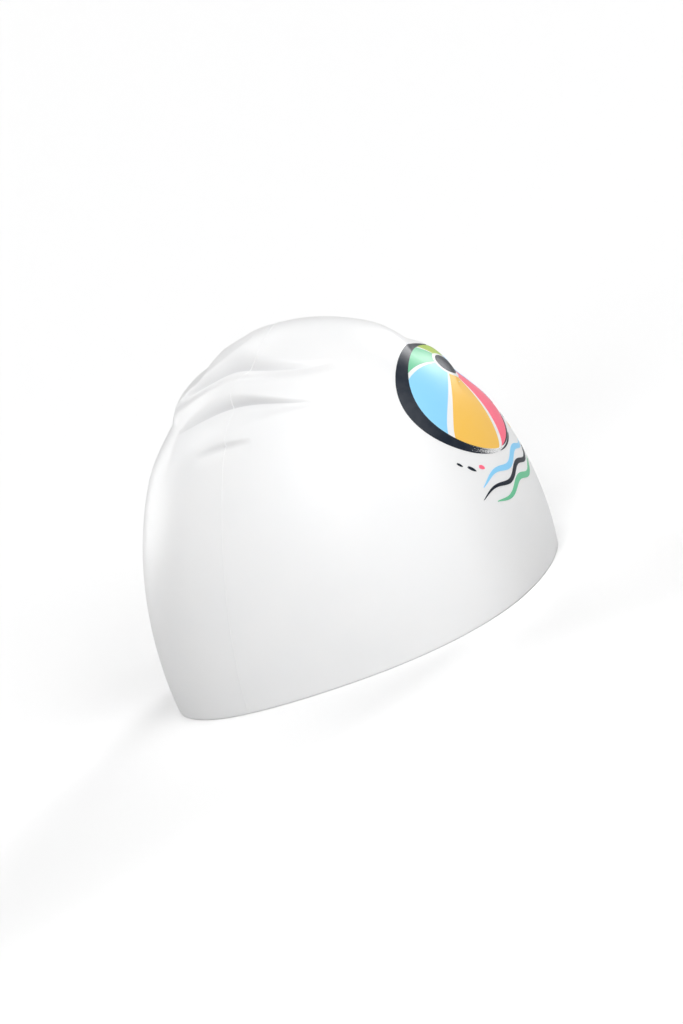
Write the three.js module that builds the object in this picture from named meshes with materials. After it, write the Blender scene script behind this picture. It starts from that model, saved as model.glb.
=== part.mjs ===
// A moulded silicone swim cap, in the rounded form that it keeps when it is worn.
// It stands on its rim, in millimetres, with +Z up, the forehead towards -Y and the
// wearer's right towards -X. The cap is one piece: a hollow dome with a thickened rim,
// and soft folds near the crown where there is more silicone than head.

import * as THREE from 'three';

// Driving dimensions
const rimLength = 210;      // forehead to nape, across the rim
const rimWidth = 158;       // ear to ear, across the rim
const capHeight = 160;      // rim to crown
const wall = 1.2;           // silicone of the dome
const rimThickness = 2.0;   // silicone at the edge, thickened on the inside
const rimBand = 7;          // how far up the thickening runs
const crownLean = 17;       // how far the crown sits forward of the middle of the rim
const foldDepth = 4.6;      // ridge to crease, on the deepest fold
const foldWidth = 14;       // crease to ridge, on the widest fold

// How the dome closes in towards the crown, seen at the forehead, the nape and the ears.
// Fullness keeps the wall upright for longer, and swell carries it outwards on the way up.
const profiles = {
  forehead: { fullness: 1.4, swell: 0.38 },
  nape: { fullness: 1.9, swell: 0.11 },
  ears: { fullness: 2.1, swell: 0.04 },
};
const squareness = 0.06;    // how far the rim's four corners stand out of an ellipse, as a share

// The folds. A fold is a crease that sags towards its ends, with a steep face above it that
// rounds off into a ridge.
// - middle and half: where it lies, and how far it runs each way, in degrees from the forehead
// - height, sag and tilt: of its crease, as shares of the cap's height. It sags towards both
//   ends, and tilt carries it up towards the nape and down towards the forehead
// - depth: from ridge to crease, as a share of foldDepth
// - face, shoulder and lip: as shares of foldWidth. The face rises from the crease, the
//   shoulder fades out above it and the lip fades out below it
// - widen: how much wider the face and the lip are at the nape end
// - sides: 1 is the wearer's right, -1 the left
const folds = [
  { name: 'short', middle: 103, half: 14, height: 0.779, sag: 0.108, tilt: 0,
    depth: 0.4, face: 0.2, shoulder: 0.6, lip: 0.4, widen: 0.2, sides: [1, -1] },
  { name: 'deep', middle: 97, half: 38, height: 0.874, sag: 0.15, tilt: 0.026,
    depth: 1, face: 0.42, shoulder: 0.8, lip: 1, widen: 0.8, sides: [1, -1] },
  { name: 'wide', middle: 101, half: 61, height: 0.956, sag: 0.09, tilt: 0.017,
    depth: 0.9, face: 0.85, shoulder: 0.9, lip: 0.7, widen: 0.35, sides: [1, -1] },
  { name: 'nape', middle: 180, half: 46, height: 0.855, sag: 0.02, tilt: 0,
    depth: 0.7, face: 0.9, shoulder: 0.8, lip: 2.4, widen: 0, sides: [1] },
  { name: 'back', middle: 180, half: 40, height: 0.962, sag: 0.05, tilt: 0,
    depth: 0.37, face: 0.9, shoulder: 0.8, lip: 0.9, widen: 0, sides: [1] },
  { name: 'brow', middle: 28, half: 32, height: 0.802, sag: 0.1, tilt: 0,
    depth: 0.4, face: 1.2, shoulder: 0.8, lip: 0.9, widen: 0, sides: [-1] },
  { name: 'temple', middle: 34, half: 34, height: 0.655, sag: 0.1, tilt: 0,
    depth: 0.52, face: 1, shoulder: 0.8, lip: 1.9, widen: 0, sides: [-1] },
];
const ridgeShare = 0.15;    // of a fold's depth that stands out of the smooth dome

// The mesh. Rows of points run round the cap, and three of them lie on the creases, so each
// list gives the rows of one stretch as shares of the way from its lower line to its upper one.
const columns = 72;
const rowsUpToCrease = [
  { upTo: 'rim band', shares: [0.5, 1] },
  { upTo: 'short', shares: [0.16, 0.32, 0.48, 0.63, 0.77, 0.88, 0.95, 1] },
  { upTo: 'deep', shares: [0.12, 0.3, 0.55, 0.8, 0.92, 1] },
  { upTo: 'wide', shares: [0.12, 0.28, 0.5, 0.72, 0.88, 1] },
  { upTo: 'crown', shares: [0.08, 0.2, 0.34, 0.5, 0.67, 0.84] },
];

const degrees = THREE.MathUtils.degToRad;
const fade = THREE.MathUtils.smoothstep;

// The share of the rim's half length or half width that is left at a height share.
function closing(profile, height) {
  return Math.sqrt(Math.max(0, 1 - height ** profile.fullness)) * (1 + profile.swell * height);
}

// A point of the smooth dome, without folds. The turn is 0 at the forehead and grows towards
// the wearer's right, and the height is a share of the cap's height.
function domePoint(turn, height) {
  const frontness = (1 + Math.cos(turn)) / 2;
  const lengthwise = closing(profiles.forehead, height) * frontness
    + closing(profiles.nape, height) * (1 - frontness);
  const corner = 1 + squareness * (1 - height ** 2) * Math.sin(2 * turn) ** 2;
  const forward = crownLean * height + lengthwise * corner * rimLength / 2 * Math.cos(turn);
  const sideways = closing(profiles.ears, height) * corner * rimWidth / 2 * Math.sin(turn);
  return new THREE.Vector3(-sideways, -forward, capHeight * height);
}

// The smooth dome's outward direction, from its slopes round the cap and up the cap.
function domeNormal(turn, height) {
  const step = 1e-4;
  const rise = Math.asin(height);
  const round = domePoint(turn + step, height).sub(domePoint(turn - step, height));
  const below = Math.sin(Math.max(0, rise - step));
  const up = domePoint(turn, Math.sin(rise + step)).sub(domePoint(turn, below));
  return up.cross(round).normalize();
}

// The height of a fold's crease, carried on round the whole cap for the mesh to follow.
function creaseHeight(fold, angle) {
  const away = Math.sin(angle - degrees(fold.middle));
  return fold.height - fold.sag * away ** 2 + fold.tilt * away;
}

// How far one fold moves the surface outwards, at an angle measured from the forehead.
function foldOffset(fold, turn, height, angle) {
  const along = (angle - degrees(fold.middle)) / degrees(fold.half);
  const taper = 1 - along ** 2;
  if (taper <= 0) {
    return 0;
  }
  const crease = creaseHeight(fold, angle);
  const distance = domePoint(turn, height).distanceTo(domePoint(turn, crease));
  const depth = foldDepth * fold.depth * taper;
  const ridge = depth * ridgeShare;
  const width = foldWidth * (1 + fold.widen * along);
  const face = width * fold.face * taper;
  if (height < crease) {
    return (ridge - depth) * (1 - fade(distance, 0, width * fold.lip));
  }
  if (distance < face) {
    return ridge - depth * (1 - Math.sin(Math.PI / 2 * distance / face));
  }
  return ridge * (1 - fade(distance - face, 0, foldWidth * fold.shoulder));
}

function allFolds(turn, height) {
  let offset = 0;
  for (const fold of folds) {
    for (const side of fold.sides) {
      const signed = Math.atan2(Math.sin(turn), Math.cos(turn)) * side;
      const angle = signed < degrees(fold.middle - 180) ? signed + 2 * Math.PI : signed;
      offset += foldOffset(fold, turn, height, angle);
    }
  }
  return offset;
}

// The silicone's thickness at a distance above the rim.
function thickness(aboveRim) {
  return THREE.MathUtils.lerp(rimThickness, wall, fade(aboveRim, 0, rimBand));
}

// The line that the mesh's rows reach at the top of one stretch.
function guideHeight(name, turn) {
  if (name === 'rim band') {
    return rimBand / capHeight;
  }
  if (name === 'crown') {
    return 1;
  }
  const angle = Math.abs(Math.atan2(Math.sin(turn), Math.cos(turn)));
  return creaseHeight(folds.find((fold) => fold.name === name), angle);
}

// The heights of all rows at one turn, from the rim upwards. They are spaced by their rise,
// the angle whose sine is the height, which keeps them even where the dome closes.
function rowHeights(turn) {
  const heights = [0];
  let from = 0;
  for (const stretch of rowsUpToCrease) {
    const to = Math.asin(guideHeight(stretch.upTo, turn));
    for (const share of stretch.shares) {
      heights.push(Math.sin(THREE.MathUtils.lerp(from, to, share)));
    }
    from = to;
  }
  return heights;
}

// The outer and the inner point of the silicone at one place. At the rim the wall's thickness
// is measured level, so that its underside is flat.
function wallPoints(turn, height) {
  const outer = domePoint(turn, height);
  const outward = domeNormal(turn, height);
  const level = fade(outer.z, 0, rimBand);
  const across = outward.clone().setZ(outward.z * level).normalize();
  outer.addScaledVector(outward, allFolds(turn, height));
  const inner = outer.clone().addScaledVector(across, -thickness(capHeight * height));
  return { outer, inner };
}

function shellGeometry() {
  const points = [];
  const faces = [];
  const layers = { outer: [], inner: [] };
  for (let column = 0; column < columns; column++) {
    const turn = 2 * Math.PI * column / columns;
    const walls = rowHeights(turn).map((height) => wallPoints(turn, height));
    for (const layer of ['outer', 'inner']) {
      layers[layer].push(walls.map((point) => points.push(point[layer]) - 1));
    }
  }
  const crownTop = new THREE.Vector3(0, -crownLean, capHeight);
  const outerCrown = points.push(crownTop) - 1;
  const innerCrown = points.push(crownTop.clone().setZ(capHeight - wall)) - 1;
  const rows = layers.outer[0].length;
  for (let column = 0; column < columns; column++) {
    const next = (column + 1) % columns;
    const [outer, outerNext] = [layers.outer[column], layers.outer[next]];
    const [inner, innerNext] = [layers.inner[column], layers.inner[next]];
    for (let row = 0; row < rows - 1; row++) {
      faces.push(outer[row], outer[row + 1], outerNext[row + 1]);
      faces.push(outer[row], outerNext[row + 1], outerNext[row]);
      faces.push(inner[row], innerNext[row + 1], inner[row + 1]);
      faces.push(inner[row], innerNext[row], innerNext[row + 1]);
    }
    faces.push(outer[rows - 1], outerCrown, outerNext[rows - 1]);
    faces.push(inner[rows - 1], innerNext[rows - 1], innerCrown);
    faces.push(outer[0], outerNext[0], innerNext[0]);
    faces.push(outer[0], innerNext[0], inner[0]);
  }
  const geometry = new THREE.BufferGeometry().setFromPoints(points).setIndex(faces);
  geometry.computeBoundingBox();
  const middle = geometry.boundingBox.getCenter(new THREE.Vector3());
  geometry.translate(-middle.x, -middle.y, 0);
  geometry.computeVertexNormals();
  return geometry;
}

// White silicone: matt with a soft sheen.
const silicone = new THREE.MeshStandardMaterial({
  color: 0xf2f2f0, roughness: 0.45, metalness: 0,
});

const shell = new THREE.Mesh(shellGeometry(), silicone);
shell.name = 'cap_shell';

const cap = new THREE.Group();
cap.add(shell);

export default cap;
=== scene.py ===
# %% [markdown]
# This lesson dresses a swim cap. The cap is one moulding of white silicone, shown in the round
# form that it keeps when it is worn, and it stands on its rim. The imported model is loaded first
# and stays where it is: everything made below is laid on it, in metres, with +Z up, the forehead
# towards -Y and the wearer's right towards -X.

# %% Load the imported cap
import math

import bpy
from mathutils import Matrix, Vector


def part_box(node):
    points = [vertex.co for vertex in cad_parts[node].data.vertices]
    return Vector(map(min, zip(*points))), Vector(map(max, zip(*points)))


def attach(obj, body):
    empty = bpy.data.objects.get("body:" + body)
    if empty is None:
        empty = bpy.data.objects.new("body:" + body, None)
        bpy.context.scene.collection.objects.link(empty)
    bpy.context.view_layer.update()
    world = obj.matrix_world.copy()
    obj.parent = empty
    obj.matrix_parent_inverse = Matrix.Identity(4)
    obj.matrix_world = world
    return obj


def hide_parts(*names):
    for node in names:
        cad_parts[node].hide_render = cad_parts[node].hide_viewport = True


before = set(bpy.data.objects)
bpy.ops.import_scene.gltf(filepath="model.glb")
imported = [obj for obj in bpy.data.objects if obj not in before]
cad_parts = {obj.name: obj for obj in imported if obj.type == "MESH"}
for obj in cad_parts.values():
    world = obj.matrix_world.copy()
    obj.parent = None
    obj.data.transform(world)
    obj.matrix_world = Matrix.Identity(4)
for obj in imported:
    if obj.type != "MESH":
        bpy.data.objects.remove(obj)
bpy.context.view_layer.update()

# %% [markdown]
# The cap's own sizes are the same few that its construction was drawn from. The shell is drawn
# again from them, much finer, so it needs the same rules: how long and wide the rim is, how high
# the crown stands, how the wall closes in on the way up, and where the folds lie.

# %% Sizes of the cap
MM = 0.001
rim_length = 210 * MM
rim_width = 158 * MM
cap_height = 160 * MM
crown_lean = 17 * MM
wall = 1.2 * MM
rim_thickness = 2.0 * MM
rim_band = 7 * MM
fold_depth = 4.6 * MM
fold_width = 14 * MM
squareness = 0.06
ridge_share = 0.15

# Fullness keeps the wall upright for longer, and swell carries it outwards on the way up.
profiles = {
    "forehead": {"fullness": 1.4, "swell": 0.38},
    "nape": {"fullness": 1.9, "swell": 0.11},
    "ears": {"fullness": 2.1, "swell": 0.04},
}

# Angles are degrees round from the forehead. Heights, sag and tilt are shares of the cap's
# height, depth is a share of fold_depth, and face, shoulder and lip are shares of fold_width.
folds = [
    dict(name="short", middle=103, half=14, height=0.779, sag=0.108, tilt=0,
         depth=0.4, face=0.2, shoulder=0.6, lip=0.4, widen=0.2, sides=(1, -1)),
    dict(name="deep", middle=97, half=38, height=0.874, sag=0.15, tilt=0.026,
         depth=1, face=0.42, shoulder=0.8, lip=1, widen=0.8, sides=(1, -1)),
    dict(name="wide", middle=101, half=61, height=0.956, sag=0.09, tilt=0.017,
         depth=0.9, face=0.85, shoulder=0.9, lip=0.7, widen=0.35, sides=(1, -1)),
    dict(name="nape", middle=180, half=46, height=0.855, sag=0.02, tilt=0,
         depth=0.7, face=0.9, shoulder=0.8, lip=2.4, widen=0, sides=(1,)),
    dict(name="back", middle=180, half=40, height=0.962, sag=0.05, tilt=0,
         depth=0.37, face=0.9, shoulder=0.8, lip=0.9, widen=0, sides=(1,)),
    dict(name="brow", middle=28, half=32, height=0.802, sag=0.1, tilt=0,
         depth=0.4, face=1.2, shoulder=0.8, lip=0.9, widen=0, sides=(-1,)),
    dict(name="temple", middle=34, half=34, height=0.655, sag=0.1, tilt=0,
         depth=0.52, face=1, shoulder=0.8, lip=1.9, widen=0, sides=(-1,)),
]
print(len(folds), "rows, which make", sum(len(fold["sides"]) for fold in folds), "folds")

# %% [markdown]
# A formula is easier to read as a sum than as a picture of nodes. A Wire is one value on its way
# through a node tree, and a + b with it adds a Math node and hands back that node's output. It
# serves Geometry Nodes and shader trees, since both have the Math node.

# %% Sums that become Math nodes
def join(value, socket):
    """Links a wire to a socket, or sets the socket to a plain value."""
    if isinstance(value, Wire):
        value.tree.links.new(value.socket, socket)
    else:
        socket.default_value = value


def join_all(values, node):
    """Joins wires and plain values to a node's inputs, by name."""
    for label, value in values.items():
        join(value, node.inputs[label])


class Wire:
    """One value in a node tree."""

    def __init__(self, tree, socket):
        self.tree = tree
        self.socket = socket

    def math(self, operation, other=None, left=False):
        """A Math node on this value and another one, which goes first if left is true."""
        node = self.tree.nodes.new("ShaderNodeMath")
        node.operation = operation
        values = [self] if other is None else ([other, self] if left else [self, other])
        for socket, value in zip(node.inputs, values):
            join(value, socket)
        return Wire(self.tree, node.outputs[0])

    def __add__(self, other):
        return self.math("ADD", other)

    def __sub__(self, other):
        return self.math("SUBTRACT", other)

    def __rsub__(self, other):
        return self.math("SUBTRACT", other, left=True)

    def __mul__(self, other):
        return self.math("MULTIPLY", other)

    def __truediv__(self, other):
        return self.math("DIVIDE", other)

    def __rtruediv__(self, other):
        return self.math("DIVIDE", other, left=True)

    def __pow__(self, other):
        return self.math("POWER", other)

    __radd__ = __add__
    __rmul__ = __mul__

    def clamped(self):
        """The value, kept from 0 to 1."""
        return self.math("MAXIMUM", 0.0).math("MINIMUM", 1.0)


def fade(value, start, end):
    """0 up to start and 1 from end, with a smooth rise between."""
    node = value.tree.nodes.new("ShaderNodeMapRange")
    node.interpolation_type = "SMOOTHSTEP"
    for socket, entry in zip(node.inputs, (value, start, end, 0.0, 1.0)):
        join(entry, socket)
    return Wire(value.tree, node.outputs[0])


def vector_math(operation, first, second=None):
    """One step of vector arithmetic, on wires."""
    node = first.tree.nodes.new("ShaderNodeVectorMath")
    node.operation = operation
    join(first, node.inputs[0])
    if second is not None:
        join(second, node.inputs["Scale" if operation == "SCALE" else 1])
    return Wire(first.tree, node.outputs["Value" if operation == "DISTANCE" else "Vector"])


def vector(tree, x, y, z):
    """A vector from its three parts."""
    node = tree.nodes.new("ShaderNodeCombineXYZ")
    for socket, value in zip(node.inputs, (x, y, z)):
        join(value, socket)
    return Wire(tree, node.outputs[0])


def parts_of(value):
    """The three parts of a vector."""
    node = value.tree.nodes.new("ShaderNodeSeparateXYZ")
    join(value, node.inputs[0])
    return [Wire(value.tree, socket) for socket in node.outputs]


# %% [markdown]
# A node group is a rule with named inputs and outputs. These helpers start a group, finish it
# and use it in another tree. Sizes travel through all the groups under the same names, so a
# change at the top reaches the lowest rule.

# %% Groups with named inputs and outputs
def add_socket(tree, label, way, kind):
    """A named input or output of a group, such as a float, an int or a vector."""
    kind = "NodeSocket" + kind.title()
    return tree.interface.new_socket(label, in_out=way, socket_type=kind)


def new_group(name, family, inputs, outputs={"Geometry": "geometry"}):
    """A tree with its sockets, and its inputs as wires by name. A plain number is a float."""
    tree = bpy.data.node_groups.new(name, family + "NodeTree")
    for label, entry in inputs.items():
        kind, value = entry if isinstance(entry, tuple) else ("float", entry)
        socket = add_socket(tree, label, "INPUT", kind)
        if value is not None:
            socket.default_value = value
    for label, kind in outputs.items():
        add_socket(tree, label, "OUTPUT", kind)
    start = tree.nodes.new("NodeGroupInput")
    tree.nodes.new("NodeGroupOutput")
    return tree, {label: Wire(tree, start.outputs[label]) for label in inputs}


def finish_group(tree, **results):
    """Joins the named results to the group's outputs, with _ for a space."""
    out = next(node for node in tree.nodes if node.bl_idname == "NodeGroupOutput")
    for label, value in results.items():
        join(value, out.inputs[label.replace("_", " ")])


def use_group(tree, group, values):
    """Places a group in a tree and returns its outputs as wires by name."""
    node = tree.nodes.new(tree.bl_idname.replace("NodeTree", "NodeGroup"))
    node.node_tree = group
    join_all(values, node)
    return {socket.name: Wire(tree, socket) for socket in node.outputs}


SIZES = {
    "Rim Length": rim_length,
    "Rim Width": rim_width,
    "Cap Height": cap_height,
    "Crown Lean": crown_lean,
}
PLACE = {"Turn": 0.0, "Height": 0.0}


def only(wires, names):
    """The wires that a group of those names needs."""
    return {name: wires[name] for name in names}


def count_nodes(tree):
    print(tree.name, "has", len(tree.nodes), "nodes")


# %% [markdown]
# The smooth dome is a rule with two inputs. Turn says how far round the cap a point lies, from
# the forehead towards the wearer's right, and Height how far up, as a share. At each height the
# plan is a soft oblong that closes in at its own pace at the forehead, the nape and the ears.
# A sculpted dome would do as well, but a rule can be asked for any point at all, so the shell,
# the mould line and the print all lie on one and the same surface.

# %% The smooth dome as a node group
def closing(profile, height):
    """The share of the rim's half length or width that is left at a height."""
    left = (1 - height ** profile["fullness"]).math("MAXIMUM", 0.0).math("SQRT")
    return left * (1 + profile["swell"] * height)


def make_dome_point():
    inputs = {**PLACE, **SIZES}
    tree, given = new_group("Dome point", "Geometry", inputs, {"Point": "vector"})
    turn, height = given["Turn"], given["Height"]
    frontness = (1 + turn.math("COSINE")) / 2
    front = closing(profiles["forehead"], height)
    back = closing(profiles["nape"], height)
    lengthwise = front * frontness + back * (1 - frontness)
    corner = 1 + squareness * (1 - height * height) * (2 * turn).math("SINE") ** 2
    reach = lengthwise * corner * turn.math("COSINE") * given["Rim Length"] / 2
    forward = given["Crown Lean"] * height + reach
    crosswise = closing(profiles["ears"], height)
    sideways = crosswise * corner * turn.math("SINE") * given["Rim Width"] / 2
    point = vector(tree, -1 * sideways, -1 * forward, given["Cap Height"] * height)
    finish_group(tree, Point=point)
    return tree


dome_point = make_dome_point()
count_nodes(dome_point)

# %% [markdown]
# Folds push the surface in or out along its outward direction, and the wall's thickness is
# measured along it too. The direction is square to two short steps on the dome, one round the
# cap and one up it. Right at the crown the steps shrink to nothing, so above a height share of
# crown_from a very long +Z drowns them out.

# %% The outward direction as a node group
small_turn = 0.002
crown_from = 0.99999
very_long = 1e6


def make_dome_outward():
    inputs = {**PLACE, **SIZES}
    tree, given = new_group("Dome outward", "Geometry", inputs, {"Outward": "vector"})

    def point(turn, height):
        values = {**only(given, SIZES), "Turn": turn, "Height": height}
        return use_group(tree, dome_point, values)["Point"]

    turn, height = given["Turn"], given["Height"]
    rise = height.math("ARCSINE").math("MINIMUM", math.pi / 2 - 2 * small_turn)
    higher = point(turn, (rise + small_turn).math("SINE"))
    lower = point(turn, (rise - small_turn).math("MAXIMUM", 0.0).math("SINE"))
    ahead = point(turn + small_turn, rise.math("SINE"))
    behind = point(turn - small_turn, rise.math("SINE"))
    upwards = vector_math("SUBTRACT", higher, lower)
    round_cap = vector_math("SUBTRACT", ahead, behind)
    square = vector_math("NORMALIZE", vector_math("CROSS_PRODUCT", upwards, round_cap))
    at_crown = height.math("GREATER_THAN", crown_from)
    with_z = vector_math("ADD", square, vector(tree, 0.0, 0.0, at_crown * very_long))
    finish_group(tree, Outward=vector_math("NORMALIZE", with_z))
    return tree


dome_outward = make_dome_outward()
count_nodes(dome_outward)

# %% [markdown]
# Worn, the cap holds more silicone than head near its crown, and the spare lies in folds. Each
# fold is a crease with a steep face above it, which rounds off into a low ridge. Sculpting would
# be quicker once, but as a rule each fold is a row of a table: its place, its length, its depth
# and how wide its face is. Face and depth both taper to nothing at the ends, and that gives the
# crescent that is seen on a real cap.

# %% One fold as a node group
FOLD = {
    "Angle": 0.0,
    "Middle": 0.0,
    "Half": 1.0,
    "Crease Height": 0.8,
    "Sag": 0.0,
    "Tilt": 0.0,
    "Depth": fold_depth,
    "Width": fold_width,
    "Face": 0.5,
    "Shoulder": 0.5,
    "Lip": 0.5,
    "Widen": 0.0,
}


def crease_height(angle, middle, height, sag, tilt):
    """The height of a fold's crease, carried on round the whole cap."""
    away = (angle - middle).math("SINE")
    return height - sag * (away * away) + tilt * away


# Painted shade, a darkening of the silicone's colour where shadow falls in a fold, grows from 0
# on a fold's ridge to the fold's depth in its crease, and ends just below the crease. The open
# dents have none.
folds_with_painted_shade = ("short", "deep", "wide")
painted_shade_edge = 0.7 * MM


def make_fold_offset():
    inputs = {**PLACE, **SIZES, **FOLD}
    outputs = {"Offset": "float", "Shade": "float"}
    tree, given = new_group("Fold offset", "Geometry", inputs, outputs)
    height = given["Height"]
    along = (given["Angle"] - given["Middle"]) / given["Half"]
    taper = (1 - along * along).math("MAXIMUM", 0.0)
    crease = crease_height(given["Angle"], given["Middle"], given["Crease Height"],
                           given["Sag"], given["Tilt"])
    here = use_group(tree, dome_point, only(given, {**PLACE, **SIZES}))["Point"]
    at_crease = {**only(given, SIZES), "Turn": given["Turn"], "Height": crease}
    distance = vector_math("DISTANCE", here, use_group(tree, dome_point, at_crease)["Point"])
    depth = given["Depth"] * taper
    ridge = depth * ridge_share
    width = given["Width"] * (1 + given["Widen"] * along)
    face = width * given["Face"] * taper
    lip = (ridge - depth) * (1 - fade(distance, 0.0, width * given["Lip"]))
    climb = ((distance / face).clamped() * (math.pi / 2)).math("SINE")
    shoulder = ridge * fade(distance - face, 0.0, given["Width"] * given["Shoulder"])
    over = ridge - depth * (1 - climb) - shoulder
    is_over = height.math("GREATER_THAN", crease)
    is_there = taper.math("GREATER_THAN", 0.0)
    below = 1 - fade(distance, 0.0, painted_shade_edge)
    painted_shade = (below * (1 - is_over) + (1 - climb) * is_over) * depth * is_there
    finish_group(tree, Offset=(lip * (1 - is_over) + over * is_over) * is_there, Shade=painted_shade)
    return tree


fold_offset = make_fold_offset()
count_nodes(fold_offset)

# %% [markdown]
# One group now gives the cap's surface at any place, and how deep under it a point lies. At the
# rim the wall's thickness is measured level, so that the underside of the rim stays flat. Every
# piece below asks this group where the silicone is.

# %% The cap's surface as a node group
SHAPE = {**SIZES, "Fold Depth": fold_depth, "Fold Width": fold_width, "Rim Band": rim_band}
SURFACE = {**PLACE, **SHAPE, "Depth Below": 0.0}
plain_columns = ("sag", "tilt", "face", "shoulder", "lip", "widen")


def signed_turn(turn):
    """The turn from -180 to 180 degrees, with the forehead at 0."""
    return turn.math("SINE").math("ARCTAN2", turn.math("COSINE"))


def all_folds(tree, given):
    """The sums of every fold's offset and painted shade, on every side that it lies on."""
    offset = 0.0
    painted_shade = 0.0
    signed = signed_turn(given["Turn"])
    for fold in folds:
        for side in fold["sides"]:
            angle = signed * side
            far_side = angle.math("LESS_THAN", math.radians(fold["middle"] - 180))
            values = {
                **only(given, {**PLACE, **SIZES}),
                **{name.title(): fold[name] for name in plain_columns},
                "Angle": angle + far_side * (2 * math.pi),
                "Middle": math.radians(fold["middle"]),
                "Half": math.radians(fold["half"]),
                "Crease Height": fold["height"],
                "Depth": given["Fold Depth"] * fold["depth"],
                "Width": given["Fold Width"],
            }
            result = use_group(tree, fold_offset, values)
            offset = result["Offset"] + offset
            if fold["name"] in folds_with_painted_shade:
                painted_shade = result["Shade"] + painted_shade
    return offset, painted_shade


def make_cap_surface():
    outputs = {"Position": "vector", "Shade": "float"}
    tree, given = new_group("Cap surface", "Geometry", SURFACE, outputs)
    place = only(given, {**PLACE, **SIZES})
    point = use_group(tree, dome_point, place)["Point"]
    outward = use_group(tree, dome_outward, place)["Outward"]
    x, y, z = parts_of(outward)
    level = fade(given["Height"] * given["Cap Height"], 0.0, given["Rim Band"])
    across = vector_math("NORMALIZE", vector(tree, x, y, z * level))
    offset, painted_shade = all_folds(tree, given)
    folded = vector_math("ADD", point, vector_math("SCALE", outward, offset))
    inset = vector_math("SCALE", across, given["Depth Below"])
    finish_group(tree, Position=vector_math("SUBTRACT", folded, inset),
                 Shade=painted_shade / given["Fold Depth"])
    return tree


cap_surface = make_cap_surface()
count_nodes(cap_surface)

# %% [markdown]
# The shell is one grid, bent until it closes. Its rows start at the crown on the inside, run
# down to the rim, round the rim's edge and up the outside to the crown again, so the wall has
# its true thickness everywhere and the edge is round, as an edge from a mould is. Outside, rows
# of the grid lie exactly along three of the creases and crowd towards them, because a crease
# between two rows would look soft and jagged.

# %% Rows and columns of the shell
columns = 360
edge_rows = 15
touching = 0.002 * MM
edge_radius = 0.6 * MM
guides = [
    dict(up_to="rim band", outside=6, inside=3),
    dict(up_to="short", outside=44, inside=16),
    dict(up_to="deep", outside=26, inside=14),
    dict(up_to="wide", outside=26, inside=14),
    dict(up_to="crown", outside=34, inside=16),
]
rows_inside = sum(guide["inside"] for guide in guides)
rows_outside = sum(guide["outside"] for guide in guides)
rows = rows_inside + edge_rows + rows_outside
print("the shell's grid:", columns, "columns and", rows, "rows")


def guide_rise(name, angle):
    """The rise that the grid reaches at the top of one stretch. A height is its sine."""
    if name == "rim band":
        return math.asin(rim_band / cap_height)
    if name == "crown":
        return math.pi / 2
    fold = next(fold for fold in folds if fold["name"] == name)
    middle = math.radians(fold["middle"])
    return crease_height(angle, middle, fold["height"], fold["sag"], fold["tilt"]).math("ARCSINE")


def climb_rows(row, which, angle, start):
    """How far a row has risen from the edge, stretch by stretch."""
    total = 0.0
    first = 0
    lower = start
    for guide in guides:
        upper = guide_rise(guide["up_to"], angle)
        share = ((row - first) / guide[which]).clamped()
        total = share * (upper - lower) + total
        first += guide[which]
        lower = upper
    return total


# %% [markdown]
# Geometry Nodes bends the grid. Each point works out its own row and column from its index, and
# from them its turn, its height and its depth below the surface. Points that meet at the two
# crowns and along the closing column are merged, and the plain mesh is taken out at the end.

# %% The tree that bends the grid
def add_node(tree, kind, values, **settings):
    """A node of the tree's own family, as a wire from its first output."""
    node = tree.nodes.new(tree.bl_idname.removesuffix("Tree") + kind)
    for name, value in settings.items():
        setattr(node, name, value)
    join_all(values, node)
    return Wire(tree, node.outputs[0])


def lay_on_cap(tree, given, geometry, turn, height, below):
    """Moves geometry onto the cap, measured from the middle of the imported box."""
    place = {**only(given, SHAPE), "Turn": turn, "Height": height, "Depth Below": below}
    surface = use_group(tree, cap_surface, place)
    middle = vector(tree, 0.0, given["Middle"], 0.0)
    laid = vector_math("SUBTRACT", surface["Position"], middle)
    moved = add_node(tree, "SetPosition", {"Geometry": geometry, "Position": laid})
    return moved, surface["Shade"]


def edge_shape(share, thickness, radius):
    """Across the rim's edge from inside to outside: the share crossed, and the lift."""
    round_in = (share * 3).clamped() * (math.pi / 2)
    flat = (share * 3 - 1).clamped()
    round_out = (share * 3 - 2).clamped() * (math.pi / 2)
    crossed = radius * (1 - round_in.math("COSINE")) + (thickness - radius * 2) * flat
    crossed = crossed + radius * round_out.math("SINE")
    lift = radius * (1 - round_in.math("SINE")) + radius * (1 - round_out.math("COSINE"))
    return crossed / thickness, lift


def closing_nodes(tree, mesh, material):
    """Shades, gives the material and realizes, as every tree here ends."""
    mesh = add_node(tree, "SetShadeSmooth", {"Geometry": mesh})
    mesh = add_node(tree, "RealizeInstances", {"Geometry": mesh})
    return add_node(tree, "SetMaterial", {"Geometry": mesh, "Material": material})


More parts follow.
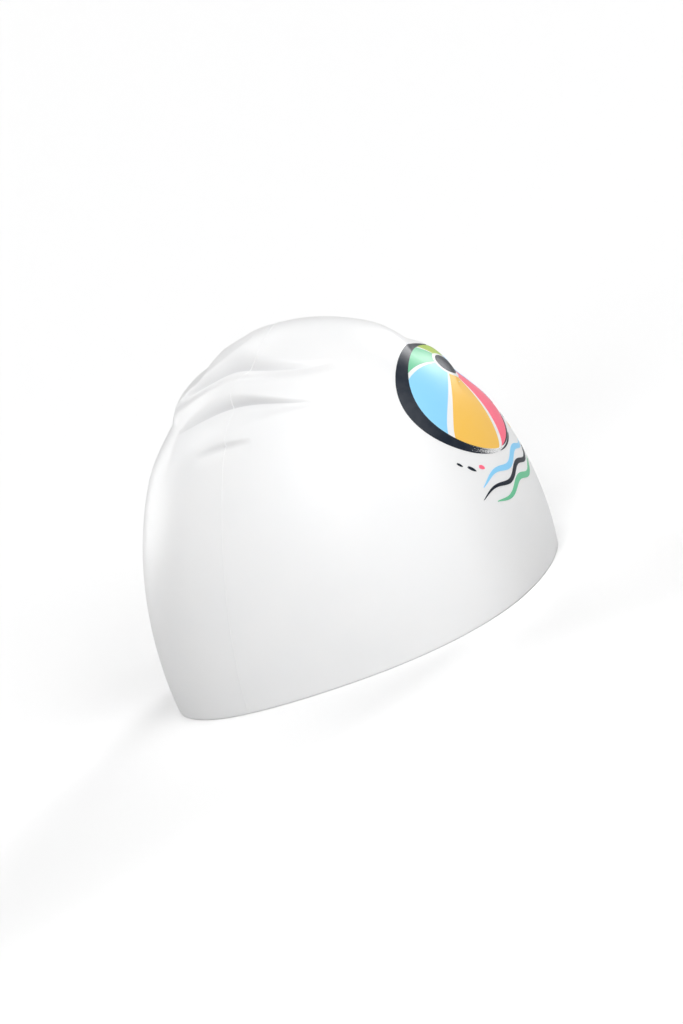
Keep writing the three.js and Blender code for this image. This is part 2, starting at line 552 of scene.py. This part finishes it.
def make_shell_tree():
    inputs = {
        **SHAPE,
        "Wall": wall,
        "Rim Thickness": rim_thickness,
        "Edge Radius": edge_radius,
        "Columns": ("int", columns),
        "Rows": ("int", rows),
        "Middle": 0.0,
        "Material": ("material", None),
    }
    tree, given = new_group("Cap shell", "Geometry", inputs)
    grid = add_node(tree, "MeshGrid",
                    {"Vertices X": given["Columns"] + 1, "Vertices Y": given["Rows"] + 1})
    index = add_node(tree, "InputIndex", {})
    row = index.math("MODULO", given["Rows"] + 1)
    column = (index / (given["Rows"] + 1)).math("FLOOR")
    turn = column / given["Columns"] * (2 * math.pi)
    angle = signed_turn(turn).math("ABSOLUTE")

    start = (given["Edge Radius"] / given["Cap Height"]).math("ARCSINE")
    inside_row = (rows_inside - row).math("MAXIMUM", 0.0)
    outside_row = (row - (rows_inside + edge_rows)).math("MAXIMUM", 0.0)
    rise = start + climb_rows(inside_row, "inside", angle, start)
    rise = rise + climb_rows(outside_row, "outside", angle, start)
    on_edge = ((row - rows_inside) / edge_rows).clamped()
    crossed, lift = edge_shape(on_edge, given["Rim Thickness"], given["Edge Radius"])
    height = rise.math("SINE") - (given["Edge Radius"] - lift) / given["Cap Height"]

    above_rim = fade(height * given["Cap Height"], 0.0, given["Rim Band"])
    thickness = given["Rim Thickness"] + (given["Wall"] - given["Rim Thickness"]) * above_rim
    mesh, painted_shade = lay_on_cap(tree, given, grid, turn, height, thickness * (1 - crossed))
    # Painted shade: stores how much the silicone's colour is darkened in each crease.
    mesh = add_node(tree, "StoreNamedAttribute",
                    {"Geometry": mesh, "Name": "crease", "Value": painted_shade})
    mesh = add_node(tree, "MergeByDistance", {"Geometry": mesh, "Distance": touching})
    mesh = add_node(tree, "FlipFaces", {"Mesh": mesh})
    finish_group(tree, Geometry=closing_nodes(tree, mesh, given["Material"]))
    return tree


shell_tree = make_shell_tree()
count_nodes(shell_tree)

# %% [markdown]
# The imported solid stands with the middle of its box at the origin, and the rule above has its
# own zero in the middle of the rim. The nape of the solid tells how far the two lie apart: there
# the rim is the part that reaches furthest back.

# %% Where the rule's zero lies
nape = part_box("cap_shell")[1][1]
rule_zero = nape - rim_length / 2
print("the rim's middle lies", round(rule_zero / MM, 2), "mm behind the middle of the box")


def grown(name, tree, values, start=None):
    """Runs a tree on a mesh, or on an empty one, and returns a plain object with the result."""
    piece = bpy.data.objects.new(name, start or bpy.data.meshes.new(name))
    bpy.context.collection.objects.link(piece)
    modifier = piece.modifiers.new(name, "NODES")
    modifier.node_group = tree
    for item in tree.interface.items_tree:
        if item.in_out == "INPUT" and item.name in values:
            modifier[item.identifier] = values[item.name]
    evaluated = piece.evaluated_get(bpy.context.evaluated_depsgraph_get())
    mesh = bpy.data.meshes.new_from_object(evaluated)
    piece.modifiers.clear()
    piece.data = mesh
    mesh.name = name
    print(name, "has", len(mesh.polygons), "faces")
    return piece


# %% [markdown]
# White silicone is nearly one colour, and what tells it from paper or plaster is small. Its
# surface copies the fine grain of the mould, light goes a millimetre or two into it, and hands
# leave slightly glossier patches. The ink that is printed on it shows the same grain. Effects
# that several finishes share are shader groups, built once and given their own values in each
# material. They read Object coordinates, so nothing slides when the view changes.

# %% Shader groups that the finishes share
def object_coordinates(tree):
    return Wire(tree, tree.nodes.new("ShaderNodeTexCoord").outputs["Object"])


def noise(position, size, detail=2.0):
    """Soft random values around a half, with lumps of about the given size."""
    return add_node(position.tree, "TexNoise",
                    {"Vector": position, "Scale": 1 / size, "Detail": detail})


def blend_colours(tree, share, first, second):
    """The first colour where the share is 0, and the second where it is 1."""
    node = tree.nodes.new("ShaderNodeMix")
    node.data_type = "RGBA"
    for number, value in ((0, share), (6, first), (7, second)):
        join(value, node.inputs[number])
    return Wire(tree, node.outputs[2])


def make_mould_grain():
    """Fine grain from the blasted mould, over a broad and shallow ripple."""
    inputs = {"Grain Size": 0.6 * MM, "Ripple Size": 9 * MM, "Ripple Share": 0.6}
    tree, given = new_group("Mould grain", "Shader", inputs, {"Height": "float"})
    position = object_coordinates(tree)
    grain = noise(position, given["Grain Size"], 3.0)
    ripple = noise(position, given["Ripple Size"], 1.0)
    share = given["Ripple Share"]
    finish_group(tree, Height=grain * (1 - share) + ripple * share)
    return tree


def make_cloud():
    """A colour that drifts a little towards a second one, in soft clouds."""
    inputs = {
        "Colour": ("color", (0.8, 0.8, 0.8, 1)),
        "Drift Colour": ("color", (0.7, 0.7, 0.7, 1)),
        "Cloud Size": 30 * MM,
        "Drift": 1.0,
    }
    # Noise stays near a half, so the fades here start and end close to it.
    tree, given = new_group("Cloudy colour", "Shader", inputs, {"Colour": "color"})
    cloud = fade(noise(object_coordinates(tree), given["Cloud Size"], 3.0), 0.35, 0.65)
    mixed = blend_colours(tree, cloud * given["Drift"], given["Colour"], given["Drift Colour"])
    finish_group(tree, Colour=mixed)
    return tree


def make_handling():
    """Roughness with smoother patches where hands have been."""
    inputs = {
        "Roughness": 0.45,
        "Polish": 0.08,
        "Patch Size": 22 * MM,
        "Patch Share": 0.6,
        "Smear Size": 3 * MM,
        "Smear Stretch": 4.0,
    }
    tree, given = new_group("Handling marks", "Shader", inputs, {"Roughness": "float"})
    position = object_coordinates(tree)
    patch = fade(noise(position, given["Patch Size"], 2.0), 0.4, 0.7)
    along, across, up = parts_of(position)
    stretched = vector(tree, along, across, up / given["Smear Stretch"])
    smear = fade(noise(stretched, given["Smear Size"], 4.0), 0.5, 0.8)
    shine = patch * given["Patch Share"] + smear * (1 - given["Patch Share"])
    finish_group(tree, Roughness=given["Roughness"] - given["Polish"] * shine)
    return tree


mould_grain = make_mould_grain()
cloudy_colour = make_cloud()
handling_marks = make_handling()


def new_material(name, colour, drift_colour, drift, cloud_size, roughness, polish, grain_height):
    """A material whose colour, roughness and grain come from the three groups."""
    material = bpy.data.materials.new(name)
    material.use_nodes = True
    tree = material.node_tree
    shader = tree.nodes["Principled BSDF"]
    cloud = {"Colour": (*colour, 1), "Drift Colour": (*drift_colour, 1),
             "Drift": drift, "Cloud Size": cloud_size}
    marks = {"Roughness": roughness, "Polish": polish}
    height = use_group(tree, mould_grain, {})["Height"]
    join_all({
        "Base Color": use_group(tree, cloudy_colour, cloud)["Colour"],
        "Roughness": use_group(tree, handling_marks, marks)["Roughness"],
        "Normal": add_node(tree, "Bump", {"Height": height, "Distance": grain_height}),
    }, shader)
    return material, shader


def paint_over(shader, share, colour):
    """Covers what the base colour is so far with a second colour, by a share from 0 to 1."""
    tree = shader.id_data
    under = Wire(tree, shader.inputs["Base Color"].links[0].from_socket)
    join(blend_colours(tree, share, under, (*colour, 1)), shader.inputs["Base Color"])


# %% [markdown]
# The silicone itself: white with the least drift to a cooler white, satin, and slightly soft in
# the way it takes light. The numbers that are the same all over sit on the shader's own sockets.
# The creases are painted darker, a painted shade that stands for the shadow falling in them. The
# shell carries how deep each crease is as an attribute, crease, from 0 to 1, which sets that shade.

# %% White silicone
silicone_white = (0.86, 0.86, 0.86)
# The grey that the painted shade in the creases darkens the silicone towards.
painted_crease_shade_colour = (0.69, 0.69, 0.7)
silicone, shader = new_material(
    "white_silicone",
    colour=silicone_white,
    drift_colour=(0.84, 0.845, 0.85),
    drift=0.6,
    cloud_size=40 * MM,
    roughness=0.42,
    polish=0.07,
    grain_height=0.012 * MM,
)
# Painted shade: the crease attribute darkens the silicone's colour towards a grey in the creases.
crease = silicone.node_tree.nodes.new("ShaderNodeAttribute")
crease.attribute_name = "crease"
paint_over(shader, Wire(silicone.node_tree, crease.outputs["Fac"]), painted_crease_shade_colour)
join_all({
    "IOR": 1.41,
    "Subsurface Weight": 0.15,
    "Subsurface Radius": (1.0, 0.95, 0.9),
    "Subsurface Scale": 1.5 * MM,
}, shader)
print("the silicone's shader has", len(silicone.node_tree.nodes), "nodes")

# %% The shell
cap = grown("cap_silicone", shell_tree, {"Material": silicone, "Middle": -rule_zero})
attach(cap, "root")
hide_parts("cap_shell")

# %% [markdown]
# Where the two halves of the mould meet, they leave a fine raised line from ear to ear, over
# the crown. Its way is worked out on a half globe: it sweeps from side to side, and at each
# height it lies a known share forward of the middle. The wide fold pulls it further forward. The
# line is thinner than the shell's faces are wide, so it is a bead of its own: a curve laid on the
# surface, with a small round section that is sunk to leave only a low back.

# %% The mould line
line_radius = 0.4 * MM
line_proud = 0.16 * MM
line_points = 900
line_sides = 10
line_forward = {"at_rim": -0.384, "climb": 0.36, "power": 1.35}
line_pull = {"by": 0.09, "from": 0.928, "to": 0.966}


def make_mould_line():
    inputs = {
        **SHAPE,
        "Radius": line_radius,
        "Proud": line_proud,
        "Lowest Rise": math.asin(edge_radius / cap_height),
        "Points": ("int", line_points),
        "Middle": 0.0,
        "Material": ("material", None),
    }
    tree, given = new_group("Mould line", "Geometry", inputs)
    path = add_node(tree, "CurvePrimitiveLine", {"Start": (-1, 0, 0), "End": (1, 0, 0)})
    path = add_node(tree, "ResampleCurve", {"Curve": path, "Count": given["Points"]})
    along = parts_of(add_node(tree, "InputPosition", {}))[0]
    sweep = along * (math.pi / 2 - given["Lowest Rise"])
    climb = sweep.math("COSINE")
    pull = fade(climb, line_pull["from"], line_pull["to"]) * line_pull["by"]
    forward = line_forward["at_rim"] + line_forward["climb"] * climb ** line_forward["power"] + pull
    spread = (1 - forward * forward).math("SQRT")
    turn = (sweep.math("SINE") * spread).math("ARCTAN2", forward)
    below = given["Radius"] - given["Proud"]
    path = lay_on_cap(tree, given, path, turn, climb * spread, below)[0]
    section = add_node(tree, "CurvePrimitiveCircle",
                       {"Resolution": line_sides, "Radius": given["Radius"]})
    bead = add_node(tree, "CurveToMesh",
                    {"Curve": path, "Profile Curve": section, "Fill Caps": True})
    finish_group(tree, Geometry=closing_nodes(tree, bead, given["Material"]))
    return tree


mould_line = grown("mould_line", make_mould_line(), {"Material": silicone, "Middle": -rule_zero})
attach(mould_line, "root")

# %% [markdown]
# A picture is printed on the forehead, one colour at a time, as thin films of ink. This one is
# a beach ball over waves. It is first drawn flat, as seen from the front, in patches: each patch
# is a small grid whose two directions, u and v, a short function turns into a place on the
# drawing. Strokes of the brush are patches that follow a path and swell and shrink on the way.

# %% Patches and strokes of the flat drawing
def patch(place, u_steps, v_steps, brushed=False):
    """A grid whose points place(u, v) puts on the drawing, for u and v from 0 to 1."""
    shares = [(u / u_steps, v / v_steps) for v in range(v_steps + 1) for u in range(u_steps + 1)]
    faces = []
    for v in range(v_steps):
        for u in range(u_steps):
            corner = v * (u_steps + 1) + u
            faces.append((corner, corner + 1, corner + u_steps + 2, corner + u_steps + 1))
    points = [(*place(u, v), 0.0) for u, v in shares]
    brush = [(u, v if brushed else 0.0) for u, v in shares]
    return points, faces, brush


def stroke(path, half_width, v_steps, u_steps=4):
    """A patch along a path, as wide on each side as half_width(v) says."""
    step = 1e-4

    def place(u, v):
        x, y = path(v)
        ahead_x, ahead_y = path(v + step)
        length = math.hypot(ahead_x - x, ahead_y - y)
        out = half_width(v) * (2 * u - 1) / length
        return x + (y - ahead_y) * out, y + (ahead_x - x) * out

    return patch(place, u_steps, v_steps, brushed=True)


def flat_drawing(name, patches):
    """One mesh that holds several patches, with the brush's own directions as a UV map."""
    points, faces, brush = [], [], []
    for patch_points, patch_faces, patch_brush in patches:
        first = len(points)
        points += patch_points
        brush += patch_brush
        faces += [tuple(first + corner for corner in face) for face in patch_faces]
    mesh = bpy.data.meshes.new(name)
    mesh.from_pydata(points, [], faces)
    layer = mesh.uv_layers.new(name="brush")
    for loop in mesh.loops:
        layer.data[loop.index].uv = brush[loop.vertex_index]
    return mesh


def swelling(width):
    """A brush that is widest half way and almost comes to a point at both ends."""
    thinnest, bluntness = 0.04, 0.6
    return lambda v: width * max(thinnest, math.sin(math.pi * min(max(v, 0), 1))) ** bluntness


# %% [markdown]
# The ball is a globe seen at an angle. Its panels run from a small disc at its pole to its rim,
# like slices of an orange, with a bare gap between neighbours. The meridians of a tilted globe
# give their curved edges, which would be hard to draw freehand.

# %% The ball
ball_radius = 32.5 * MM
ball_middle = Vector((0, 99 * MM))
ball_pole = Vector((0.34, 0.46, 0.82)).normalized()
pole_side = ball_pole.cross(Vector((0, 0, 1))).normalized()
pole_other = pole_side.cross(ball_pole)
pole_disc = math.radians(13)
panel_colours = ["coral", "amber", "sky", "green", "lime", "sky"]
panel_span = 2 * math.pi / len(panel_colours)
panel_gap = math.radians(3.2)
gap_at_disc = math.radians(4)


def on_ball(longitude, colatitude):
    """The place on the drawing of a point on the globe."""
    spoke = pole_side * math.cos(longitude) + pole_other * math.sin(longitude)
    towards = ball_pole * math.cos(colatitude) + spoke * math.sin(colatitude)
    return ball_middle + ball_radius * towards.xy


def globe_edge(longitude):
    """The colatitude at which a meridian passes out of sight."""
    return math.atan2(ball_pole.z, -pole_other.z * math.sin(longitude))


def ball_panel(number):
    def place(u, v):
        start = number * panel_span + panel_gap
        longitude = start + u * (panel_span - 2 * panel_gap)
        nearest = pole_disc + gap_at_disc
        return on_ball(longitude, nearest + v * (globe_edge(longitude) - nearest))

    return patch(place, u_steps=24, v_steps=40)


def ball_disc():
    return patch(lambda u, v: on_ball(2 * math.pi * u, pole_disc * v), u_steps=36, v_steps=6)


# Angles in degrees round the ball, anticlockwise from its right, and widths in millimetres.
ball_strokes = [
    dict(start=52, end=262, half_width=2.7, outside=0.6),
    dict(start=258, end=296, half_width=0.5, outside=1.5),
    dict(start=266, end=318, half_width=0.6, outside=0.1),
    dict(start=326, end=404, half_width=1.4, outside=0.5),
]


def ball_stroke(row):
    def path(v):
        angle = math.radians(row["start"] + v * (row["end"] - row["start"]))
        reach = ball_radius + row["outside"] * MM
        return ball_middle + reach * Vector((math.cos(angle), math.sin(angle)))

    steps = (row["end"] - row["start"]) // 2
    return stroke(path, swelling(row["half_width"] * MM), v_steps=steps, u_steps=6)


print("the ball has", len(panel_colours), "panels and", len(ball_strokes), "strokes round it")

# %% [markdown]
# Below the ball lie three waves and a few short dabs of the brush. Their rows are in
# millimetres and degrees too. A wave's start is a share of its length.

# %% The waves and dabs
waves = [
    dict(colour="sky", height=59, half_length=31, width=1.7, start=0.0),
    dict(colour="navy", height=53, half_length=34, width=1.3, start=0.2),
    dict(colour="green", height=47, half_length=28, width=1.6, start=0.4),
]
wave_swing = 1.7 * MM
wave_length = 28 * MM
dabs = [
    dict(colour="navy", x=-31, y=69, angle=118, length=5.5, width=0.7),
    dict(colour="navy", x=-34.5, y=74, angle=112, length=3.6, width=0.5),
    dict(colour="navy", x=33, y=72, angle=62, length=5, width=0.7),
    dict(colour="coral", x=-26, y=66.5, angle=130, length=4, width=1.0),
    dict(colour="amber", x=27, y=67, angle=52, length=4, width=1.0),
]


def wave_stroke(wave):
    half_length = wave["half_length"] * MM

    def path(v):
        x = (2 * v - 1) * half_length
        swing = wave_swing * math.sin(2 * math.pi * (x / wave_length + wave["start"]))
        return Vector((x, wave["height"] * MM + swing))

    return stroke(path, swelling(wave["width"] * MM), v_steps=90)


def dab_stroke(dab):
    middle = Vector((dab["x"], dab["y"])) * MM
    angle = math.radians(dab["angle"])
    heading = Vector((math.cos(angle), math.sin(angle))) * dab["length"] * MM
    return stroke(lambda v: middle + heading * (v - 0.5), swelling(dab["width"] * MM), v_steps=10)


# %% [markdown]
# Geometry Nodes lay the flat drawing on the cap. The height on the drawing is measured along
# the forehead from the rim, so it becomes a height share by the forehead's own bend, and the
# distance from the midline becomes a turn. The drawing is first given its thickness, sides and
# underside, so every film is a closed body, sunk a little way into the silicone.

# %% The tree that lays ink on the cap
forehead_bend = 0.065
ink_proud = 0.1 * MM
navy_proud = 0.16 * MM
ink_sunk = 0.15 * MM
sharp_edge = 0.6


def make_ink_tree():
    inputs = {
        "Drawing": ("geometry", None),
        **SHAPE,
        "Proud": ink_proud,
        "Sunk": ink_sunk,
        "Middle": 0.0,
        "Material": ("material", None),
    }
    tree, given = new_group("Ink film", "Geometry", inputs)
    flat = add_node(tree, "MergeByDistance",
                    {"Geometry": given["Drawing"], "Distance": touching})
    normal_z = parts_of(add_node(tree, "InputNormal", {}))[2]
    flat = add_node(tree, "FlipFaces",
                    {"Mesh": flat, "Selection": normal_z.math("LESS_THAN", 0.0)})
    underside = add_node(tree, "FlipFaces", {"Mesh": flat})
    up = vector(tree, 0.0, 0.0, 1.0)
    raised = add_node(tree, "ExtrudeMesh",
                      {"Mesh": flat, "Offset": up, "Offset Scale": given["Sunk"] + given["Proud"],
                       "Individual": False})
    both = tree.nodes.new("GeometryNodeJoinGeometry")
    join(raised, both.inputs[0])
    join(underside, both.inputs[0])
    film = add_node(tree, "MergeByDistance",
                    {"Geometry": Wire(tree, both.outputs[0]), "Distance": touching})

    x, y, z = parts_of(add_node(tree, "InputPosition", {}))
    climb = y / given["Cap Height"]
    height = climb * (1 - forehead_bend * climb * climb)
    half_width = closing(profiles["ears"], height) * given["Rim Width"] / 2
    turn = -1 * (x / half_width).math("ARCSINE")
    film = lay_on_cap(tree, given, film, turn, height, given["Sunk"] - z)[0]
    film = closing_nodes(tree, film, given["Material"])
    angle = add_node(tree, "InputMeshEdgeAngle", {})
    film = add_node(tree, "SetShadeSmooth",
                    {"Geometry": film, "Selection": angle.math("GREATER_THAN", sharp_edge),
                     "Shade Smooth": False}, domain="EDGE")
    finish_group(tree, Geometry=film)
    return tree


ink_tree = make_ink_tree()
count_nodes(ink_tree)

# %% [markdown]
# Towards the end of a stroke a brush runs dry, and bare streaks open along it. Cutting them out
# of the mesh would take thousands of slivers, so they are a mask in the inks' materials. It reads
# the brush's own directions, u across the stroke and v along it, so the streaks follow every
# bend. On the ball's panels v is 0 and nothing shows.

# %% A shader group for the dry end of a stroke
def make_dry_brush():
    """Bare is 1 where the silicone shows between streaks of ink."""
    inputs = {
        "Dry From": 0.6,
        "Streaks": 9.0,
        "Streak Stretch": 2.2,
        "Speckle": 0.35 * MM,
        "Speckle Share": 0.25,
        "Limit": 0.78,
        "Limit Drop": 0.36,
        "Soft Edge": 0.03,
    }
    tree, given = new_group("Dry brush", "Shader", inputs, {"Bare": "float"})
    uv = tree.nodes.new("ShaderNodeUVMap")
    uv.uv_map = "brush"
    u, v = parts_of(Wire(tree, uv.outputs[0]))[:2]
    dry = fade(v, given["Dry From"], 1.0)
    streaks = noise(vector(tree, u * given["Streaks"], v * given["Streak Stretch"], 0.0), 1.0, 3.0)
    speckle = noise(object_coordinates(tree), given["Speckle"], 1.0)
    share = given["Speckle Share"]
    broken = streaks * (1 - share) + speckle * share
    limit = given["Limit"] - given["Limit Drop"] * dry
    bare = fade(broken, limit, limit + given["Soft Edge"]) * dry.math("GREATER_THAN", 0.0)
    finish_group(tree, Bare=bare)
    return tree


dry_brush = make_dry_brush()
count_nodes(dry_brush)

# %% [markdown]
# Printed ink is opaque and a little smoother than the silicone. Each colour is one piece with
# one material. Navy goes on last and lies over the others.

# %% The inks
ink_colours = {
    "coral": (1.0, 0.16, 0.25),
    "amber": (0.91, 0.54, 0.10),
    "sky": (0.27, 0.65, 0.96),
    "green": (0.16, 0.56, 0.32),
    "lime": (0.44, 0.60, 0.10),
    "navy": (0.010, 0.016, 0.028),
}
ink_sheen = 0.3
pale_grey = 0.8
pale_share = 0.02


def patches_of(colour):
    """Every patch of the drawing that is printed in one colour."""
    patches = [ball_panel(number) for number, name in enumerate(panel_colours) if name == colour]
    patches += [wave_stroke(wave) for wave in waves if wave["colour"] == colour]
    patches += [dab_stroke(dab) for dab in dabs if dab["colour"] == colour]
    if colour == "navy":
        patches += [ball_disc(), *[ball_stroke(row) for row in ball_strokes]]
    return patches


for name, colour in ink_colours.items():
    paler = [part + pale_share * (pale_grey - part) for part in colour]
    ink, shader = new_material(
        "ink_" + name,
        colour=colour,
        drift_colour=paler,
        drift=0.5,
        cloud_size=4 * MM,
        roughness=0.38,
        polish=0.06,
        grain_height=0.008 * MM,
    )
    shader.inputs["Specular IOR Level"].default_value = ink_sheen
    bare = use_group(ink.node_tree, dry_brush, {})["Bare"]
    paint_over(shader, bare, silicone_white)
    proud = navy_proud if name == "navy" else ink_proud
    values = {"Material": ink, "Middle": -rule_zero, "Proud": proud}
    drawing = flat_drawing("print_" + name, patches_of(name))
    film = grown("print_" + name, ink_tree, values, drawing)
    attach(film, "root")

# %% [markdown]
# The camera looks at the cap from its right and a little in front, from just above, and it is
# rolled so that the rim runs uphill in the picture. Two directions and a roll give its view, and
# a place in the picture where the cap's middle falls gives the framing.

# %% The camera
def aim(thing, place, target, roll=0.0):
    """Puts a camera or a light at a place, looking at a target."""
    ahead = (target - place).normalized()
    right = ahead.cross(Vector((0, 0, 1))).normalized()
    up = right.cross(ahead)
    turned_up = up * math.cos(roll) + right * math.sin(roll)
    turned_right = right * math.cos(roll) - up * math.sin(roll)
    axes = Matrix((turned_right, turned_up, -ahead)).transposed().to_4x4()
    thing.matrix_world = Matrix.Translation(place) @ axes


def direction(side, rise):
    """A unit vector by its side and rise in degrees. Side 0 is the wearer's right."""
    side, rise = math.radians(side), math.radians(rise)
    level = math.cos(rise)
    return Vector((-math.cos(side) * level, -math.sin(side) * level, math.sin(rise)))


def add_thing(name, data):
    """An object of the studio, linked to the scene."""
    thing = bpy.data.objects.new(name, data)
    bpy.context.collection.objects.link(thing)
    return thing


picture_width = 683
picture_height = 1024
cap_centre_pixel = (305.0, 499.6)
pixels_per_metre = 2016
camera_distance = 1.65
camera_side = 26.27
camera_rise = 14.12
camera_roll = math.radians(26.15)
centre_share = 0.45

cap_centre = Vector((0, rule_zero, centre_share * cap_height))
camera = add_thing("camera", bpy.data.cameras.new("camera"))
camera_place = cap_centre + direction(camera_side, camera_rise) * camera_distance
aim(camera, camera_place, cap_centre, camera_roll)
sensor_width = 36
camera.data.sensor_width = sensor_width
camera.data.lens = pixels_per_metre * camera_distance / picture_height * sensor_width
camera.data.shift_x = (picture_width / 2 - cap_centre_pixel[0]) / picture_height
camera.data.shift_y = (cap_centre_pixel[1] - picture_height / 2) / picture_height
bpy.context.scene.camera = camera
print("the camera's lens is", round(camera.data.lens, 1), "mm")

# %% [markdown]
# The studio is a pale floor under a dozen wide, soft suns and one near lamp. White silicone on
# white shows its form only by small steps of tone, so each sun lifts one side of the dome: the
# key and the near lamp give the broad highlight, those by the forehead keep the print bright,
# those by the nape draw the bright band along that edge, and the far one whitens the floor. The
# floor throws only half of its light back up, as the cap darkens towards the rim in the photo.

# %% The floor
floor_size = 14
floor_colour = (0.95, 0.95, 0.95)
floor_bounce = (0.45, 0.45, 0.45)
floor_roughness = 0.9
floor_sheen = 0.1
corners = [(x * floor_size, y * floor_size, 0) for x, y in ((-1, -1), (1, -1), (1, 1), (-1, 1))]
floor_mesh = bpy.data.meshes.new("floor")
floor_mesh.from_pydata(corners, [], [(0, 1, 2, 3)])
floor = add_thing("floor", floor_mesh)
floor_paint = bpy.data.materials.new("floor_paint")
floor_paint.use_nodes = True
tree = floor_paint.node_tree
shader = tree.nodes["Principled BSDF"]
seen = Wire(tree, tree.nodes.new("ShaderNodeLightPath").outputs["Is Camera Ray"])
join_all({
    "Base Color": blend_colours(tree, seen, (*floor_bounce, 1), (*floor_colour, 1)),
    "Roughness": floor_roughness,
    "Specular IOR Level": floor_sheen,
}, shader)
floor_mesh.materials.append(floor_paint)

# %% The lights
around = 0.02
bpy.context.scene.view_settings.view_transform = "Standard"
world = bpy.data.worlds.new("studio")
bpy.context.scene.world = world
world.use_nodes = True
join_all({"Color": (1, 1, 1, 1), "Strength": around}, world.node_tree.nodes["Background"])

# Side and rise say where each sun stands, as for the camera. Spread is how wide it looks, in
# degrees, and so how soft its shadows are.
suns = [
    dict(name="key", side=17, rise=43, strength=1.08, spread=25),
    dict(name="key low", side=-5, rise=20, strength=0.5, spread=25),
    dict(name="overhead", side=-23, rise=53, strength=0.16, spread=25),
    dict(name="forehead", side=56, rise=24, strength=0.8, spread=25),
    dict(name="forehead high", side=70, rise=59, strength=0.43, spread=25),
    dict(name="forehead side", side=83, rise=36, strength=0.47, spread=25),
    dict(name="far side", side=156, rise=20, strength=1.6, spread=25),
    dict(name="nape high", side=-149, rise=46, strength=0.38, spread=20),
    dict(name="nape", side=-118, rise=35, strength=0.43, spread=20),
    dict(name="nape low", side=-124, rise=13, strength=0.21, spread=12),
    dict(name="nape rim", side=-118, rise=5, strength=0.24, spread=12),
    dict(name="nape side", side=-100, rise=14, strength=0.47, spread=12),
]
for sun in suns:
    lamp = add_thing(sun["name"], bpy.data.lights.new(sun["name"], "SUN"))
    lamp.data.energy = sun["strength"]
    lamp.data.angle = math.radians(sun["spread"])
    aim(lamp, cap_centre + direction(sun["side"], sun["rise"]) * camera_distance, cap_centre)

near_lamp = dict(side=10, rise=25, distance=0.5, size=0.25, power=0.3)
front = add_thing("front", bpy.data.lights.new("front", "AREA"))
front.data.energy = near_lamp["power"]
front.data.size = near_lamp["size"]
towards = direction(near_lamp["side"], near_lamp["rise"])
aim(front, cap_centre + towards * near_lamp["distance"], cap_centre)
print("the studio has", len(suns), "soft suns and one near lamp")
